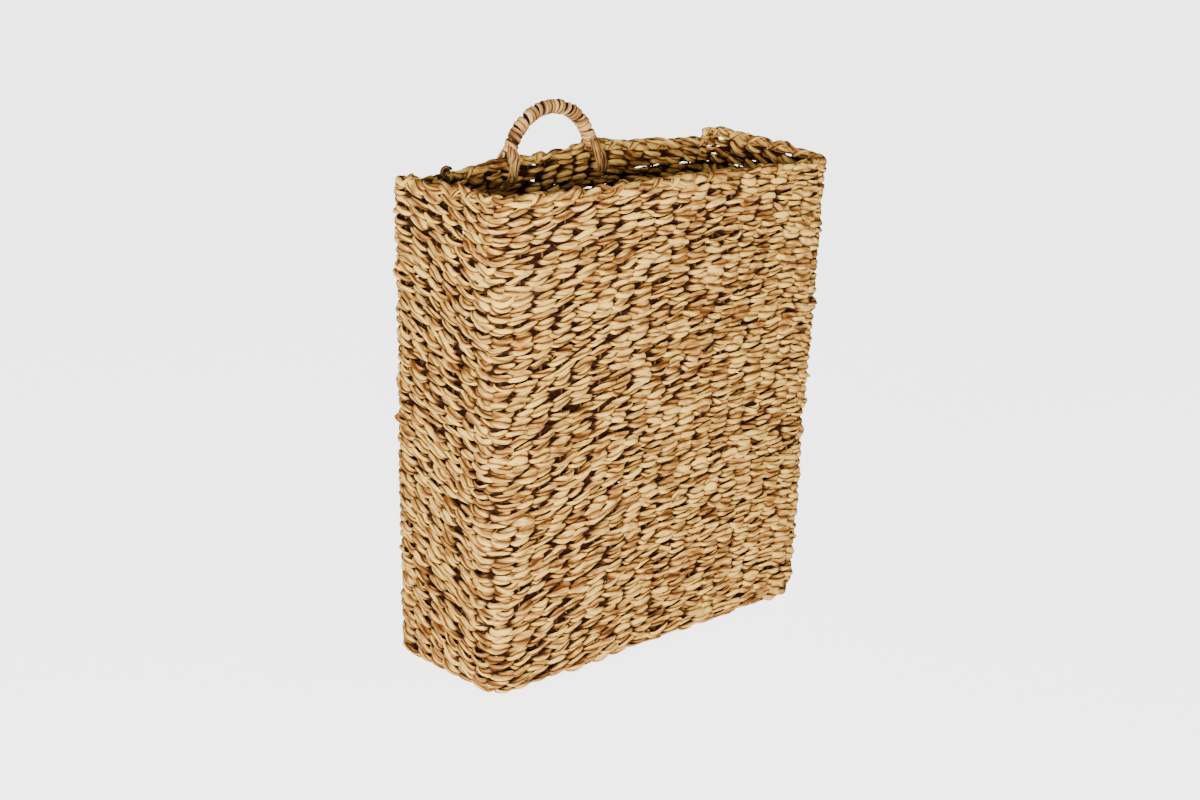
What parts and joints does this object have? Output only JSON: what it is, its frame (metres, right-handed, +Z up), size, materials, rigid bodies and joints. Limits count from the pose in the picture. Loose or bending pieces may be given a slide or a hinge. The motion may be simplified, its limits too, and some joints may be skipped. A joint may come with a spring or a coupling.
{
  "type": "seagrass storage basket",
  "caption": "Tall flat-sided storage basket twined from seagrass cord, with an open top, a rolled rim and one wrapped loop handle on the back.",
  "frame": {"origin": "middle of the bounding box in X and Y, on the floor under the base", "axes": "+Z up, X along the width, -Y the front face, +Y the back wall that carries the handle"},
  "size_m": [0.401, 0.1868, 0.4754],
  "materials": {
    "seagrass_weft": "dry, fibrous, matte twisted seagrass blades, straw and tan with darker creases",
    "seagrass_stake": "dry matte seagrass cord, darker, seen in the gaps",
    "seagrass_wrap": "thin twisted seagrass cord, satin to matte, slightly greyer straw",
    "seagrass_loop": "bare twisted seagrass strands, matte",
    "seagrass_tail": "frayed dark cut ends, matte"
  },
  "bodies": {
    "root": {"base_lower_weft": "seagrass_weft", "base_upper_weft": "seagrass_weft", "edge_outer_weft": "seagrass_weft", "edge_inner_weft": "seagrass_weft", "weft_outer_01": "seagrass_weft", "weft_inner_01": "seagrass_weft", "weft_outer_02": "seagrass_weft", "weft_inner_02": "seagrass_weft", "weft_outer_03": "seagrass_weft", "weft_inner_03": "seagrass_weft", "weft_outer_04": "seagrass_weft", "weft_inner_04": "seagrass_weft", "weft_outer_05": "seagrass_weft", "weft_inner_05": "seagrass_weft", "weft_outer_06": "seagrass_weft", "weft_inner_06": "seagrass_weft", "weft_outer_07": "seagrass_weft", "weft_inner_07": "seagrass_weft", "weft_outer_08": "seagrass_weft", "weft_inner_08": "seagrass_weft", "weft_outer_09": "seagrass_weft", "weft_inner_09": "seagrass_weft", "weft_outer_10": "seagrass_weft", "weft_inner_10": "seagrass_weft", "rim_border": "seagrass_weft", "long_stakes": "seagrass_stake", "end_stakes": "seagrass_stake", "handle_loop_left": "seagrass_loop", "handle_loop_right": "seagrass_loop", "rim_tail": "seagrass_tail", "inside_tail": "seagrass_tail"},
    "handle": {"handle_core": "seagrass_stake", "handle_wrap": "seagrass_wrap"}
  },
  "joints": [
    {"name": "handle_swing", "type": "hinge", "parent": "root", "child": "handle", "pos_m": [0.005, 0.08362, 0.4375], "axis": [1, 0, 0], "range_deg": [-50, 50], "stiffness_Nm_per_rad": 0.15}
  ]
}
